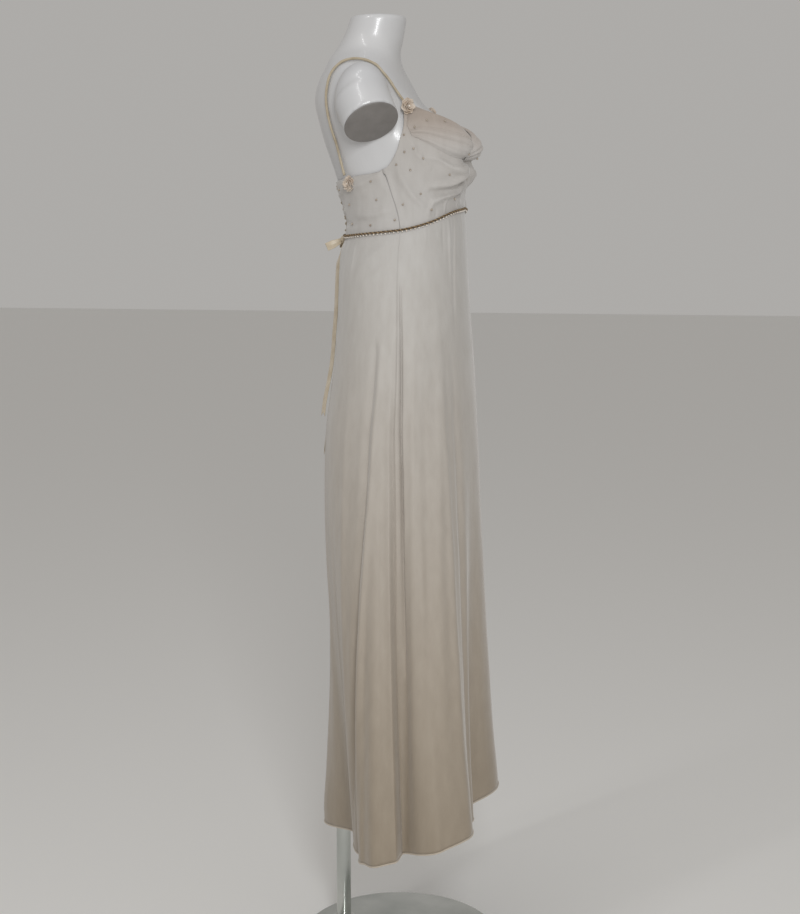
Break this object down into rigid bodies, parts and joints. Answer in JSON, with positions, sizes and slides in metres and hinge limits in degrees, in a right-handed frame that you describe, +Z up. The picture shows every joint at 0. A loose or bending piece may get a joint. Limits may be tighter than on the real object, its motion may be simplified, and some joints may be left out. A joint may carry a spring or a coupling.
{
  "type": "evening dress on a limbless dress form with a round stand",
  "caption": "Floor-length empire-line evening dress with thin straps, a draped bust and a back bow, on a limbless dress form and stand.",
  "frame": {"origin": "centre of the round base's underside, on the floor", "axes": "+Z up, the dress faces -Y, the wearer's left is +X"},
  "size_m": [0.6052, 0.38, 1.755],
  "materials": {
    "chiffon": "soft ivory-champagne chiffon, matt with a faint sheen",
    "bodice_cloth": "ivory-champagne satin-backed chiffon, soft sheen",
    "ribbon": "champagne satin ribbon",
    "braid": "dark gold twisted braid with small beads",
    "form_gloss": "white gloss",
    "arm_plate": "grey matt",
    "steel": "bright plated steel"
  },
  "bodies": {
    "root": {"skirt_front": "chiffon", "skirt_back": "chiffon", "bodice_front": "bodice_cloth", "bodice_back_right": "bodice_cloth", "bodice_back_left": "bodice_cloth", "bust_drape_right": "chiffon", "bust_drape_left": "chiffon", "empire_braid": "braid", "strap_right": "ribbon", "strap_left": "ribbon", "flower_front_right": "ribbon", "flower_front_left": "ribbon", "flower_back_right": "ribbon", "flower_back_left": "ribbon", "loop_tape_right": "ribbon", "loop_tape_left": "ribbon", "lace": "ribbon", "bow_knot": "ribbon", "bow_loop_right": "ribbon", "bow_loop_left": "ribbon", "bow_tail_right": "ribbon", "bow_tail_left": "ribbon", "form_torso": "form_gloss", "arm_plate_right": "arm_plate", "arm_plate_left": "arm_plate", "pole_socket": "steel", "pole": "steel", "foot_collar": "steel", "base": "steel"}
  },
  "joints": []
}
